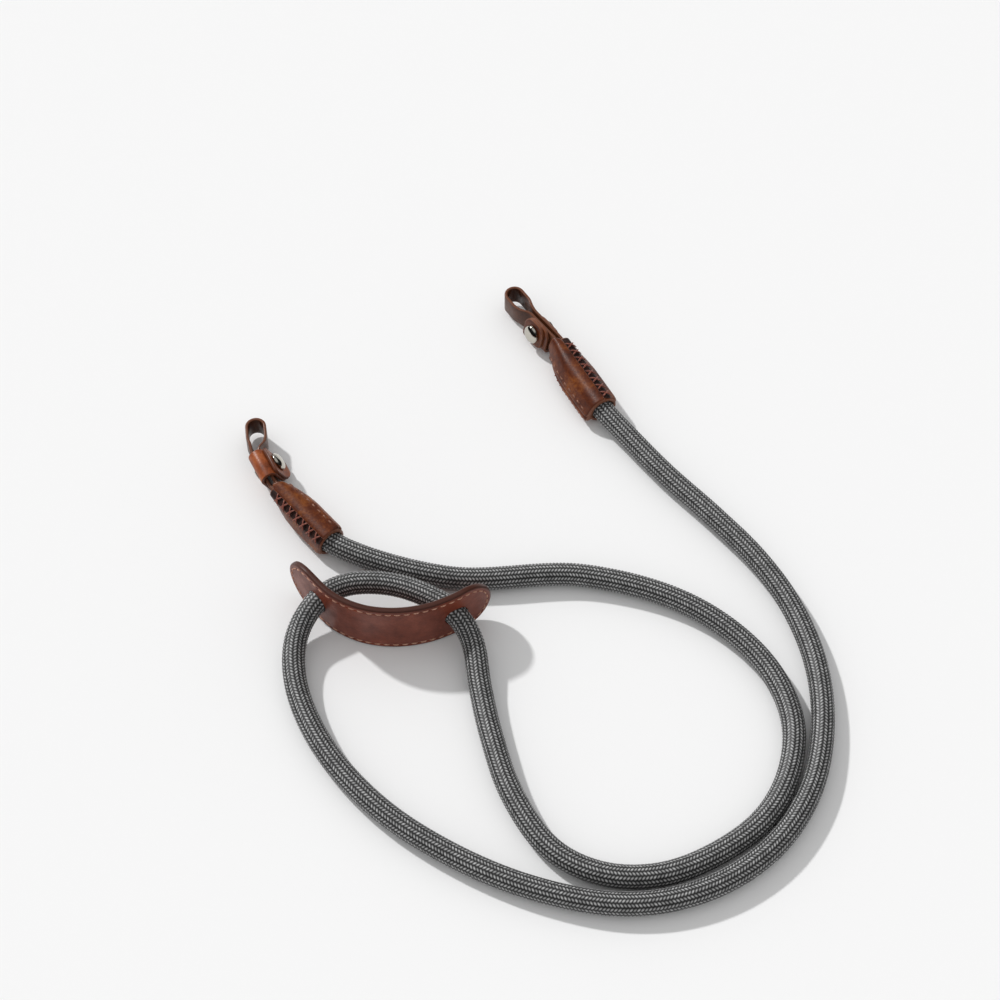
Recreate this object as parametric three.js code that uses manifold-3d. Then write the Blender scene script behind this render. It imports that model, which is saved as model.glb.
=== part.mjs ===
// A round braided rope neck strap laid down in two loose loops. Its rope runs through a bent leather
// neck pad, and each end sits in a sewn leather sleeve with a folded leather loop, a keeper and a stud.
// Millimetres, +X to the right, +Y away from the viewer, +Z up. The strap lies on the surface z = 0.
import * as THREE from "three";
import { mergeVertices } from "three/addons/utils/BufferGeometryUtils.js";
import Module from "manifold-3d";

const wasm = await Module();
wasm.setup();

// Rope
const ropeDiameter = 9;
const ropeSides = 12;
const ropeSteps = 58;
const ropeDepth = 18; // length of rope inside each sleeve
const clearance = 0.3; // gap that any two neighbouring pieces keep

// Neck pad, a leather strip on its edge that is bent round the loop of rope
const padWidth = 25;
const padThickness = 2.6;
const padTipFlat = 5; // short straight stretch at the tip of each round end

// Sleeves at the rope ends
const sleeveWall = 1.3;
const seamThickness = 2.2;
const laceWidth = 0.9; // the same for the narrow edge along the cross-laced side
const laceThickness = 1.6;

// Folded loops, keepers and studs
const stripWidth = 9;
const stripThickness = 1.2;
const layerGap = 1.4; // between the two layers of the fold
const loopNeck = 4.5; // visible fold between sleeve and keeper
const keeperLength = 13.4;
const keeperWall = 1.3;
const keeperLap = 1; // how far the flap under the stud's head stands past the strip's edge
const flapRound = 4; // radius of the flaps' corners
const eyeLength = 17.3;
const eyeWidth = 6; // inside, at the widest
const studHeadDiameter = 7.8;
const studHeadHeight = 2.3;
const studRim = 0.5;
const studShankDiameter = 2.6;
const studBackDiameter = 5.2;
const studBackThickness = 0.8;

const ropeRadius = ropeDiameter / 2;
const boreRadius = ropeRadius + clearance;
const sleeveRadius = boreRadius + sleeveWall;
const foldThickness = 2 * stripThickness + layerGap;
const tightFold = stripWidth / 2 + clearance + keeperWall; // from the strip's middle to the fold's outside
const looseFold = tightFold + 1.4;
const cornerDip = 0.25; // how far a rolled sleeve's square end reaches below its round mouth
const axisHeight = Math.max(sleeveRadius, tightFold) + cornerDip;

// Where each sleeve's mouth is, which way it points and how its loop bends, in degrees to the left. roll
// tips the end over as far as its keeper, in degrees to the right. A stud faces left of its loop, with the
// keeper's fold below, unless the loop lies turned over. seamAt and laceAt are the sides of the sleeve where
// its two edges stand, in degrees up from its left, and seamWidth is how far the sewn one stands out. fold
// is the keeper's reach and its bends' radii, outside and inside, and backFlap is how far its other flap
// stands past the strip's middle.
const ends = [
  {
    name: "left", mouth: [-65.1, -24.2], heading: 131, roll: -25, keeperTurn: -14, eyeTurn: -20,
    turnedOver: true, sleeveLength: 32, seamAt: 165, seamWidth: 1, laceAt: 5,
    fold: { reach: looseFold, round: 3.4, innerRound: 2.1 }, backFlap: 4.5,
  },
  {
    name: "right", mouth: [41.5, 39.6], heading: 119, roll: 13, keeperTurn: 8, eyeTurn: -3,
    turnedOver: false, sleeveLength: 36, seamAt: -28, seamWidth: 2.6, laceAt: 142,
    fold: { reach: tightFold, round: 3, innerRound: 0.5 }, backFlap: 2.9,
  },
];

// Route of the rope from the right sleeve to the left one: x, y, and how far it is lifted off the surface.
const ropeRoute = [
  [49.4, 29.6, 0.7], [65.4, 9.3, 0.1], [82.8, -10.2, 0], [98.9, -30.4, 0], [111.3, -53, 0],
  [118.3, -78, 0], [118.7, -104.3, 0], [112.6, -129.5, 0], [99.5, -150.5, 0], [81.3, -165.1, 0],
  [60.5, -173.1, 0], [38.6, -174.6, 0], [10, -168.2, 0], [-18, -155.4, 0], [-44, -137, 0],
  [-64.5, -112.8, 0], [-76, -86, 0.5], [-76.2, -66.4, 3], [-68.4, -54, 8], [-58.5, -47.4, 7.8],
  [-42, -46.8, 7.5], [-27, -52.6, 7.8], [-16.9, -60.2, 8], [-10.4, -69.6, 3.7], [-7.4, -87.5, 0.5],
  [-3, -108.5, 0], [4.6, -132.5, 0], [18.6, -154, 0], [36, -163.2, 0], [56.6, -163.6, 0],
  [77.2, -155.3, 0], [95.2, -141, 0], [105.2, -122.4, 0], [107.6, -100, 0], [97.6, -75, 0],
  [72, -51.5, 0], [32, -38.2, 0], [-20, -39.2, 0.2],
];

// Plan curve of the neck pad from its left tip to its right tip.
const padCurve = [
  [-79.2, -40.2], [-71.2, -50.2], [-62.4, -59.3], [-51.5, -64.8], [-39.5, -66.4],
  [-27.5, -64.6], [-16.8, -60], [-10, -55.4], [-3.9, -51],
];

const ropeFinish = new THREE.MeshStandardMaterial({ color: "#4b4c4f", roughness: 0.85 });
const padFinish = new THREE.MeshStandardMaterial({ color: "#5f3327", roughness: 0.55 });
const sleeveFinish = new THREE.MeshStandardMaterial({ color: "#7c4526", roughness: 0.5 });
const stripFinish = new THREE.MeshStandardMaterial({ color: "#4f2c21", roughness: 0.5 });
const nickelFinish = new THREE.MeshStandardMaterial({ color: "#bdbab2", roughness: 0.2, metalness: 1 });

// A closed three.js geometry as a solid that can be joined and cut.
function solidOf(geometry) {
  const bare = geometry.index ? geometry.toNonIndexed() : geometry.clone();
  bare.deleteAttribute("normal");
  bare.deleteAttribute("uv");
  const merged = mergeVertices(bare, 1e-4);
  return new wasm.Manifold(new wasm.Mesh({
    numProp: 3,
    vertProperties: new Float32Array(merged.attributes.position.array),
    triVerts: new Uint32Array(merged.index.array),
  }));
}

function geometryOf(solid) {
  const mesh = solid.getMesh();
  const geometry = new THREE.BufferGeometry();
  geometry.setAttribute("position", new THREE.Float32BufferAttribute(mesh.vertProperties, 3));
  geometry.setIndex(new THREE.Uint32BufferAttribute(mesh.triVerts, 1));
  geometry.computeVertexNormals();
  return geometry;
}

function named(name, geometry, material) {
  const mesh = new THREE.Mesh(geometry, material);
  mesh.name = name;
  return mesh;
}

const radians = THREE.MathUtils.degToRad;

// Moves every vertex of a geometry to where place(vertex) puts it.
function reshaped(geometry, place) {
  const position = geometry.attributes.position;
  const vertex = new THREE.Vector3();
  for (let i = 0; i < position.count; i += 1) {
    place(vertex.fromBufferAttribute(position, i));
    position.setXYZ(i, vertex.x, vertex.y, vertex.z);
  }
  return geometry;
}

// Rope: a tube of constant radius along the chosen route, with both ends straight inside their sleeves.
function sleevePoint(end, distance) {
  const heading = radians(end.heading);
  return new THREE.Vector3(
    end.mouth[0] + distance * Math.cos(heading),
    end.mouth[1] + distance * Math.sin(heading),
    axisHeight,
  );
}

function ropePath() {
  const [left, right] = ends;
  const loose = ropeRoute.map(([x, y, lift]) => new THREE.Vector3(x, y, ropeRadius + lift));
  return new THREE.CatmullRomCurve3([
    sleevePoint(right, ropeDepth),
    sleevePoint(right, 0),
    ...loose,
    sleevePoint(left, 0),
    sleevePoint(left, ropeDepth),
  ]);
}

function ropeTube(radius) {
  const corners = Array.from({ length: ropeSides }, (unused, i) => {
    const angle = (2 * Math.PI * i) / ropeSides;
    return new THREE.Vector2(radius * Math.cos(angle), radius * Math.sin(angle));
  });
  const section = new THREE.Shape(corners);
  return new THREE.ExtrudeGeometry(section, {
    steps: ropeSteps, extrudePath: ropePath(), bevelEnabled: false,
  });
}

const rope = named("rope", ropeTube(ropeRadius), ropeFinish);
const ropeSpace = solidOf(ropeTube(boreRadius)); // what the pad and the sleeves leave free for the rope

// Neck pad: a flat strip with round ends, bent along its plan curve and standing on its long edge.
function neckPad() {
  const curve = new THREE.CatmullRomCurve3(padCurve.map(([x, y]) => new THREE.Vector3(x, y, 0)));
  const length = curve.getLength();
  const endRadius = padWidth / 2;
  const tip = endRadius - Math.sqrt(endRadius ** 2 - (padTipFlat / 2) ** 2);
  const strip = reshaped(new THREE.BoxGeometry(1, 1, 1, 44, 6, 1), (vertex) => {
    const along = tip + ((length - 2 * tip) * (1 - Math.cos(Math.PI * (vertex.x + 0.5)))) / 2;
    const fromEnd = Math.min(along, length - along, endRadius);
    const halfHeight = Math.sqrt(endRadius ** 2 - (endRadius - fromEnd) ** 2);
    const point = curve.getPointAt(along / length);
    const tangent = curve.getTangentAt(along / length);
    const outward = vertex.z * padThickness;
    vertex.set(
      point.x + tangent.y * outward,
      point.y - tangent.x * outward,
      padWidth / 2 + 2 * vertex.y * halfHeight,
    );
  });
  return named("neck_pad", geometryOf(solidOf(strip).subtract(ropeSpace)), padFinish);
}

// Path of the folded strip: straight out of the sleeve, then bent before and after the keeper.
const foldStart = ropeDepth + 3 * clearance;
const pathStep = 0.5;
const eyeOuterRadius = eyeWidth / 2 + stripThickness;

ends.forEach((end) => {
  end.keeperStart = end.sleeveLength + loopNeck;
  end.keeperEnd = end.keeperStart + keeperLength;
  end.studAt = end.keeperStart + 0.55 * keeperLength;
  end.eyeCentre = end.keeperEnd + eyeLength - eyeOuterRadius;
});

function turnAt(end, distance) {
  const { smoothstep } = THREE.MathUtils;
  const first = smoothstep(distance, end.sleeveLength + clearance, end.keeperStart - clearance);
  const second = smoothstep(distance, end.keeperEnd + clearance, end.keeperEnd + eyeLength / 3);
  return radians(end.keeperTurn * first + end.eyeTurn * second);
}

// The point at a distance from the sleeve's mouth, with the strip's direction there.
function pathAt(end, distance) {
  if (distance <= end.sleeveLength) return { x: distance, y: 0, turn: 0 };
  let x = 0;
  let y = 0;
  const count = Math.ceil(distance / pathStep);
  const step = distance / count;
  for (let i = 0; i < count; i += 1) {
    const turn = turnAt(end, (i + 0.5) * step);
    x += step * Math.cos(turn);
    y += step * Math.sin(turn);
  }
  return { x, y, turn: turnAt(end, distance) };
}

// How far the end is rolled over at a distance. The eye stands upright.
function rollAt(end, distance) {
  const { keeperEnd } = end;
  const upright = THREE.MathUtils.smoothstep(distance, keeperEnd + clearance, keeperEnd + eyeLength / 3);
  return radians(end.roll * (1 - upright));
}

// The solid of a geometry that is modelled on a straight end, along +x from the sleeve's mouth, bent along
// the path and rolled over about it.
function laidSolid(end, geometry) {
  return solidOf(reshaped(geometry, (vertex) => {
    const { x, y, turn } = pathAt(end, vertex.x);
    const roll = rollAt(end, vertex.x);
    const side = vertex.y * Math.cos(roll) - vertex.z * Math.sin(roll);
    vertex.set(
      x - side * Math.sin(turn),
      y + side * Math.cos(turn),
      vertex.y * Math.sin(roll) + vertex.z * Math.cos(roll),
    );
  }));
}

// Sleeve: round over the rope and flatter towards the loop, with a stitched seam along one side.
// Each station: share of the length, share of the radius sideways, and how square the section is.
const sleeveStations = [
  [0, 1, 2], [0.3, 1, 2], [0.55, 1, 2.1], [0.68, 0.94, 2.4],
  [0.82, 0.82, 2.8], [0.93, 0.71, 3.4], [1, 0.65, 4],
];

function stationAt(share) {
  const next = Math.max(1, sleeveStations.findIndex(([at]) => at >= share));
  const [fromAt, fromSide, fromSquare] = sleeveStations[next - 1];
  const [toAt, toSide, toSquare] = sleeveStations[next];
  const blend = (share - fromAt) / (toAt - fromAt);
  return {
    side: THREE.MathUtils.lerp(fromSide, toSide, blend),
    square: THREE.MathUtils.lerp(fromSquare, toSquare, blend),
  };
}

function roundedPower(value, square) {
  return Math.sign(value) * Math.abs(value) ** (2 / square);
}

function sleeveBody(length) {
  return reshaped(new THREE.CylinderGeometry(1, 1, 1, 28, 16), (vertex) => {
    const share = THREE.MathUtils.clamp(vertex.y + 0.5, 0, 1);
    const { side, square } = stationAt(share);
    const reach = Math.min(1, Math.hypot(vertex.x, vertex.z));
    const angle = Math.atan2(vertex.z, vertex.x);
    vertex.set(
      share * length,
      reach * sleeveRadius * side * roundedPower(Math.cos(angle), square),
      -reach * sleeveRadius * roundedPower(Math.sin(angle), square),
    );
  });
}

// Plan outline of the seam, from the sleeve's middle to its stitched edge, in shares of length and reach.
const seamOutline = [
  [0.03, 0], [0.03, 0.93], [0.06, 1], [0.5, 1], [0.66, 0.93], [0.8, 0.76], [0.92, 0.5], [0.92, 0],
];

function sleeveSeam(length, side, width, thickness) {
  const reach = sleeveRadius + width;
  const outline = new THREE.Shape(
    seamOutline.map(([share, out]) => new THREE.Vector2(share * length, out * reach)),
  );
  const plate = new THREE.ExtrudeGeometry(outline, { depth: thickness, bevelEnabled: false });
  return plate.translate(0, 0, -thickness / 2).rotateX(radians(side));
}

// What the rope and the fold leave of the sleeve's inside: a round bore from one side of the mouth to a
// distance inside, and a flat slot from the rope's end to the loop.
function bore(from, to) {
  const hole = new THREE.CylinderGeometry(boreRadius, boreRadius, to - from, 24);
  return hole.rotateZ(Math.PI / 2).translate((from + to) / 2, 0, 0);
}

function foldSlot(length) {
  const depth = length - ropeDepth + clearance;
  const slot = new THREE.BoxGeometry(depth, foldThickness + 2 * clearance, stripWidth + 2 * clearance);
  return slot.translate(ropeDepth + depth / 2, 0, 0);
}

function sleeve(end, place) {
  const length = end.sleeveLength;
  const localRope = ropeSpace.transform(place.clone().invert().toArray());
  const solid = laidSolid(end, sleeveBody(length))
    .add(laidSolid(end, sleeveSeam(length, end.seamAt, end.seamWidth, seamThickness)))
    .add(laidSolid(end, sleeveSeam(length, end.laceAt, laceWidth, laceThickness)))
    .subtract(laidSolid(end, bore(-clearance, ropeDepth + clearance)))
    .subtract(laidSolid(end, foldSlot(length)))
    .subtract(localRope);
  return named(`sleeve_${end.name}`, geometryOf(solid), sleeveFinish);
}

const tipFacets = 7; // an odd count leaves one flat facet across the tip

function halfFold(end, distance) {
  const open = THREE.MathUtils.smoothstep(distance, end.keeperEnd, end.keeperEnd + eyeLength / 2);
  return THREE.MathUtils.lerp(foldThickness / 2, eyeOuterRadius, open);
}

function spread(from, to, count) {
  return Array.from({ length: count + 1 }, (unused, i) => from + ((to - from) * i) / count);
}

// A band along the path, closed by facets round the eye's tip.
function fold(end, stations, halfWidth, depth) {
  const radius = halfWidth(end.eyeCentre);
  const columns = stations.map((distance) => [distance, halfWidth(distance)]);
  for (let facet = 1; 2 * facet < tipFacets; facet += 1) {
    const angle = Math.PI / 2 - (Math.PI * facet) / tipFacets;
    columns.push([end.eyeCentre + radius * Math.cos(angle), radius * Math.sin(angle)]);
  }
  const last = columns.length - 1;
  const band = reshaped(new THREE.BoxGeometry(1, 1, 1, last, 1, 1), (vertex) => {
    const [distance, half] = columns[Math.round((vertex.x + 0.5) * last)];
    vertex.set(distance, 2 * vertex.y * half, vertex.z * depth);
  });
  return laidSolid(end, band);
}

function loopStrap(end) {
  const stations = [
    ...spread(end.sleeveLength, end.keeperStart, 5),
    ...spread(end.keeperEnd, end.eyeCentre, 12),
  ];
  const outside = (distance) => halfFold(end, distance);
  const inside = (distance) => halfFold(end, distance) - stripThickness;
  const solid = fold(end, [foldStart, ...stations], outside, stripWidth)
    .subtract(fold(end, [foldStart - clearance, ...stations], inside, stripWidth + 2 * clearance))
    .subtract(studBore(end));
  return named(`loop_strap_${end.name}`, geometryOf(solid), stripFinish);
}

// Keeper: a strip folded round the two layers like a U, two layers thick on the stud's side.
const innerHalf = foldThickness / 2 + clearance;
const studWall = 2 * keeperWall;

// The solid of a geometry made round the strip's middle, with the stud to the left, at a distance.
function solidAt(end, distance, geometry) {
  if (end.turnedOver) geometry.rotateX(Math.PI);
  return laidSolid(end, geometry.translate(distance, 0, 0));
}

function keeperMiddle(end) {
  return (end.keeperStart + end.keeperEnd) / 2;
}

function studBore(end) {
  const radius = studShankDiameter / 2 + clearance;
  const length = 2 * (innerHalf + studWall + clearance);
  return solidAt(end, end.studAt, new THREE.CylinderGeometry(radius, radius, length, 16));
}

// What one flap's outline keeps of the keeper: square at the fold, with round corners at the flap's end.
// The flap stands past the strip's middle by far, and the plate reaches sideways from one place to another.
function flapOutline(end, far, from, to) {
  const half = keeperLength / 2;
  const low = -end.fold.reach - clearance;
  const outline = new THREE.Shape();
  outline.moveTo(-half, low);
  outline.lineTo(half, low);
  outline.lineTo(half, far - flapRound);
  outline.absarc(half - flapRound, far - flapRound, flapRound, 0, Math.PI / 2, false);
  outline.absarc(flapRound - half, far - flapRound, flapRound, Math.PI / 2, Math.PI, false);
  const plate = new THREE.ExtrudeGeometry(outline, {
    depth: to - from, bevelEnabled: false, curveSegments: 6,
  });
  plate.rotateX(Math.PI / 2).translate(0, to, 0);
  return solidAt(end, keeperMiddle(end), plate);
}

// Section of the folded strip, seen along the loop, with the stud's side to the right.
function keeperSection(end, far) {
  const back = -innerHalf - keeperWall;
  const front = innerHalf + studWall;
  const { reach, round, innerRound } = end.fold;
  const frontRound = round + keeperWall;
  const foldIn = keeperWall - reach;
  const section = new THREE.Shape();
  section.moveTo(front, far);
  section.lineTo(innerHalf, far);
  section.lineTo(innerHalf, foldIn + innerRound);
  section.absarc(innerHalf - innerRound, foldIn + innerRound, innerRound, 0, -Math.PI / 2, true);
  section.absarc(innerRound - innerHalf, foldIn + innerRound, innerRound, -Math.PI / 2, -Math.PI, true);
  section.lineTo(-innerHalf, far);
  section.lineTo(back, far);
  section.absarc(back + round, round - reach, round, Math.PI, 1.5 * Math.PI, false);
  section.absarc(front - frontRound, frontRound - reach, frontRound, 1.5 * Math.PI, 2 * Math.PI, false);
  return section;
}

function keeper(end) {
  const far = stripWidth / 2 + keeperLap;
  const side = 2 * innerHalf + studWall; // past either face of the keeper
  const bandLength = keeperLength + 2 * clearance; // the outline cuts it to length
  const band = new THREE.ExtrudeGeometry(keeperSection(end, far + clearance), {
    depth: bandLength, bevelEnabled: false, curveSegments: 6,
  });
  band.translate(0, 0, -bandLength / 2);
  const alongPath = new THREE.Matrix4().makeBasis(
    new THREE.Vector3(0, 1, 0), new THREE.Vector3(0, 0, 1), new THREE.Vector3(1, 0, 0),
  );
  band.applyMatrix4(alongPath);
  const flaps = flapOutline(end, far, -clearance, side)
    .add(flapOutline(end, end.backFlap, -side, clearance));
  const solid = solidAt(end, keeperMiddle(end), band).intersect(flaps).subtract(studBore(end));
  return named(`keeper_${end.name}`, geometryOf(solid), sleeveFinish);
}

// Stud: a domed head, a shank through the keeper and both layers, and a flat back, turned in one piece.
function stud(end) {
  const back = innerHalf + keeperWall + clearance;
  const front = innerHalf + studWall + clearance;
  const headRadius = studHeadDiameter / 2;
  const profile = [
    [0, -back - studBackThickness],
    [studBackDiameter / 2, -back - studBackThickness],
    [studBackDiameter / 2, -back],
    [studShankDiameter / 2, -back],
    [studShankDiameter / 2, front],
    [headRadius, front],
    [headRadius, front + studRim],
  ].map(([r, y]) => new THREE.Vector2(r, y));
  const domeRings = 5;
  spread(0, Math.PI / 2, domeRings).slice(1).forEach((angle) => {
    profile.push(new THREE.Vector2(
      headRadius * Math.cos(angle),
      front + studRim + (studHeadHeight - studRim) * Math.sin(angle),
    ));
  });
  profile[profile.length - 1].x = 0;
  const turned = solidAt(end, end.studAt, new THREE.LatheGeometry(profile, 20));
  return named(`stud_${end.name}`, geometryOf(turned), nickelFinish);
}

const pieces = new THREE.Group();
pieces.add(neckPad());
ends.forEach((end) => {
  const group = new THREE.Group();
  group.position.set(end.mouth[0], end.mouth[1], axisHeight);
  group.rotation.z = radians(end.heading);
  group.updateMatrix();
  group.add(sleeve(end, group.matrix), loopStrap(end), keeper(end), stud(end));
  pieces.add(group);
});

// The origin is on the surface, under the middle of the leather pieces.
const span = new THREE.Box3().setFromObject(pieces, true);
const middle = span.getCenter(new THREE.Vector3());
const strap = new THREE.Group();
strap.add(pieces, rope);
pieces.position.set(-middle.x, -middle.y, 0);
rope.position.set(-middle.x, -middle.y, 0);

export default strap;
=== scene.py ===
# A round braided rope neck strap lying in two loose loops on white paper. It runs through a bent leather
# neck pad, and each end has a sewn leather sleeve, a folded loop, a keeper and a nickel stud.
# The sections follow the strap as it is put together, from the rope to the studs.
import math

import bmesh
import bpy
import numpy as np
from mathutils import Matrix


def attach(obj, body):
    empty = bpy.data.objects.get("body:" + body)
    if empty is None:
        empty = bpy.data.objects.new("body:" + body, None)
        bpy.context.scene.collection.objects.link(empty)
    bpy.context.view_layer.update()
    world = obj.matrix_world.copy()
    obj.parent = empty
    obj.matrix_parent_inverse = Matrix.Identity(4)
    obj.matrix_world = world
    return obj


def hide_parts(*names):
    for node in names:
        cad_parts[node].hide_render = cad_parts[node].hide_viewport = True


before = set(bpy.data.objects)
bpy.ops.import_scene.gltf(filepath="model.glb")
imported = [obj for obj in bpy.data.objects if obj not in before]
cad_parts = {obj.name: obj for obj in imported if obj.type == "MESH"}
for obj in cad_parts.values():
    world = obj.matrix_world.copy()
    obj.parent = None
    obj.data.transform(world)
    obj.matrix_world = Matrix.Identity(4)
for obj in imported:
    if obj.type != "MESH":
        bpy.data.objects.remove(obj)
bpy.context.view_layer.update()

# Paper, view and light. Seamless white paper under a hard lamp from behind on the left, in a bright room
# that fills the shadows. The view looks down on the strap at about 55 degrees.

PLACE = np.array([0.027317, -0.016419, 0.0])  # the picture's middle on the paper, from the strap's origin
SHEET = 6.0  # half the sheet's width
SHEET_FRONT, SHEET_BACK = -4.0, 8.0
SHEET_BEND = 5.0  # where its far end starts to curve up
VIEW_FROM = np.array([0.0, -0.5148, 0.7481])  # from the picture's middle
VIEW_DOWN = 55.465  # degrees below level
LAMP_LEAN = (0.902, 0.815)  # how far its light travels right and to the front for each unit down
ROOM = 0.62  # the room's brightness


def linear(colour):
    """An sRGB hex colour as linear RGBA: each channel through the standard curve."""
    channels = [int(colour[i:i + 2], 16) / 255 for i in (1, 3, 5)]
    return [c / 12.92 if c <= 0.04045 else ((c + 0.055) / 1.055) ** 2.4 for c in channels] + [1.0]


def node(tree, kind, links=(), stops=(), **settings):
    """Adds a node with its settings by name, its sockets as a value or another node's output each, and a
    colour ramp's stops as places and hex colours."""
    made = tree.nodes.new(kind)
    for key, value in settings.items():
        setattr(made, key, value)
    for socket, value in dict(links).items():
        source = value.outputs[0] if isinstance(value, bpy.types.Node) else value
        if isinstance(source, bpy.types.NodeSocket):
            tree.links.new(source, made.inputs[socket])
        else:
            made.inputs[socket].default_value = source
    for i, (place, colour) in enumerate(stops):
        elements = made.color_ramp.elements
        element = elements[i] if i < len(elements) else elements.new(place)
        element.position = place
        element.color = linear(colour)
    return made


def coating(name, colour, roughness, **sockets):
    """A new material with its plain values on the shader's own sockets, its node tree and its shader."""
    material = bpy.data.materials.new(name)
    material.use_nodes = True
    shader = material.node_tree.nodes["Principled BSDF"]
    shader.inputs["Base Color"].default_value = linear(colour)
    shader.inputs["Roughness"].default_value = roughness
    for socket, value in sockets.items():
        shader.inputs[socket.replace("_", " ")].default_value = value
    return material, material.node_tree, shader


def surface(name, points, faces):
    """A smooth mesh object at the origin from an array of points in metres and an array of faces."""
    mesh = bpy.data.meshes.new(name)
    mesh.from_pydata(np.asarray(points).reshape(-1, 3).tolist(), [], list(map(list, faces)))
    mesh.polygons.foreach_set("use_smooth", [True] * len(mesh.polygons))
    mesh.update()
    piece = bpy.data.objects.new(name, mesh)
    bpy.context.scene.collection.objects.link(piece)
    return piece


def sweep_of_paper():
    """A flat sheet whose far end curves up: height is half the square of the distance past the bend."""
    to_back = np.linspace(SHEET_FRONT, SHEET_BACK, 97)
    x, y = np.meshgrid(np.linspace(-SHEET, SHEET, 3), to_back, indexing="ij")
    grid = np.stack([x, y, np.maximum(y - SHEET_BEND, 0) ** 2 / 2], -1)
    index = np.arange(x.size).reshape(x.shape)
    faces = np.stack([index[:-1, :-1], index[1:, :-1], index[1:, 1:], index[:-1, 1:]], -1)
    return surface("paper_sweep", grid, faces.reshape(-1, 4))


# Seamless paper: matt and white, so that only the shadows show on it.
paper, _, _ = coating("seamless paper", "#f1f1f1", 0.95, Specular_IOR_Level=0.1)
paper_sweep = sweep_of_paper()
paper_sweep.data.materials.append(paper)

view = bpy.data.objects.new("view", bpy.data.cameras.new("view"))
view.data.sensor_width = 36.0
view.data.lens = 82.8  # 24.5 degrees across
view.data.clip_start = 0.05
view.location = PLACE + VIEW_FROM
view.rotation_euler = (math.radians(90 - VIEW_DOWN), 0.0, 0.0)
bpy.context.scene.collection.objects.link(view)
bpy.context.scene.camera = view

lamp = bpy.data.objects.new("key_lamp", bpy.data.lights.new("key_lamp", "SUN"))
lamp.data.energy = 2.2
lamp.data.angle = math.radians(3.0)
lamp.rotation_euler = (math.atan(math.hypot(*LAMP_LEAN)), 0.0, math.atan2(-LAMP_LEAN[0], -LAMP_LEAN[1]))
bpy.context.scene.collection.objects.link(lamp)

# The room fills the shadows evenly. What shines mirrors a bright ceiling and dim walls instead, which
# gives the leather its depth and the metal its dark rim.
room = bpy.data.worlds.new("bright_room")
room.use_nodes = True
walls = node(room.node_tree, "ShaderNodeSeparateXYZ", {0: node(room.node_tree, "ShaderNodeTexCoord")})
mirrored = node(room.node_tree, "ShaderNodeValToRGB", {0: walls.outputs[2]},
                [(0.0, "#101010"), (0.45, "#1e1e1e"), (0.74, "#3c3c3c"), (0.9, "#f4f4f4")])
ray = node(room.node_tree, "ShaderNodeLightPath")
seen = node(room.node_tree, "ShaderNodeMix", {0: ray.outputs["Is Glossy Ray"], 6: (1, 1, 1, 1), 7: mirrored},
            data_type="RGBA")
backdrop = room.node_tree.nodes["Background"]
room.node_tree.links.new(seen.outputs[2], backdrop.inputs["Color"])
backdrop.inputs["Strength"].default_value = ROOM
bpy.context.scene.world = room
bpy.context.scene.view_settings.view_transform = "Standard"

# Rope. A 9 mm rope with a herringbone braid of sixteen columns, polyester over a soft core. It lies in two
# loose loops, climbs through the pad's holes, and ends inside the two sleeves.

ROPE = 0.009
ROPE_ROUTE = np.array([
    [32.77, 55.34, 6.35], [41.5, 39.6, 6.35],
    [49.4, 29.6, 5.2], [65.4, 9.3, 4.6], [82.8, -10.2, 4.5], [98.9, -30.4, 4.5], [111.3, -53, 4.5],
    [118.3, -78, 4.5], [118.7, -104.3, 4.5], [112.6, -129.5, 4.5], [99.5, -150.5, 4.5], [81.3, -165.1, 4.5],
    [60.5, -173.1, 4.5], [38.6, -174.6, 4.5], [10, -168.2, 4.5], [-18, -155.4, 4.5], [-44, -137, 4.5],
    [-64.5, -112.8, 4.5], [-76, -86, 5.0], [-76.2, -66.4, 7.5], [-68.4, -54, 12.5], [-58.5, -47.4, 12.3],
    [-42, -46.8, 12], [-27, -52.6, 12.3], [-16.9, -60.2, 12.5], [-10.4, -69.6, 8.2], [-7.4, -87.5, 5.0],
    [-3, -108.5, 4.5], [4.6, -132.5, 4.5], [18.6, -154, 4.5], [36, -163.2, 4.5], [56.6, -163.6, 4.5],
    [77.2, -155.3, 4.5], [95.2, -141, 4.5], [105.2, -122.4, 4.5], [107.6, -100, 4.5], [97.6, -75, 4.5],
    [72, -51.5, 4.5], [32, -38.2, 4.5], [-20, -39.2, 4.7],
    [-65.1, -24.2, 6.35], [-76.91, -10.62, 6.35],
]) * 0.001 + PLACE
BRAID_COLUMNS = 16
BRAID_SIDES = 3  # points across each column
BRAID_PITCH = 0.001285  # from one stitch to the next along the rope
BRAID_RELIEF = 0.0003
BRAID_SLANT = 0.8  # how far a stitch leans over its column's width, in pitches


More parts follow.
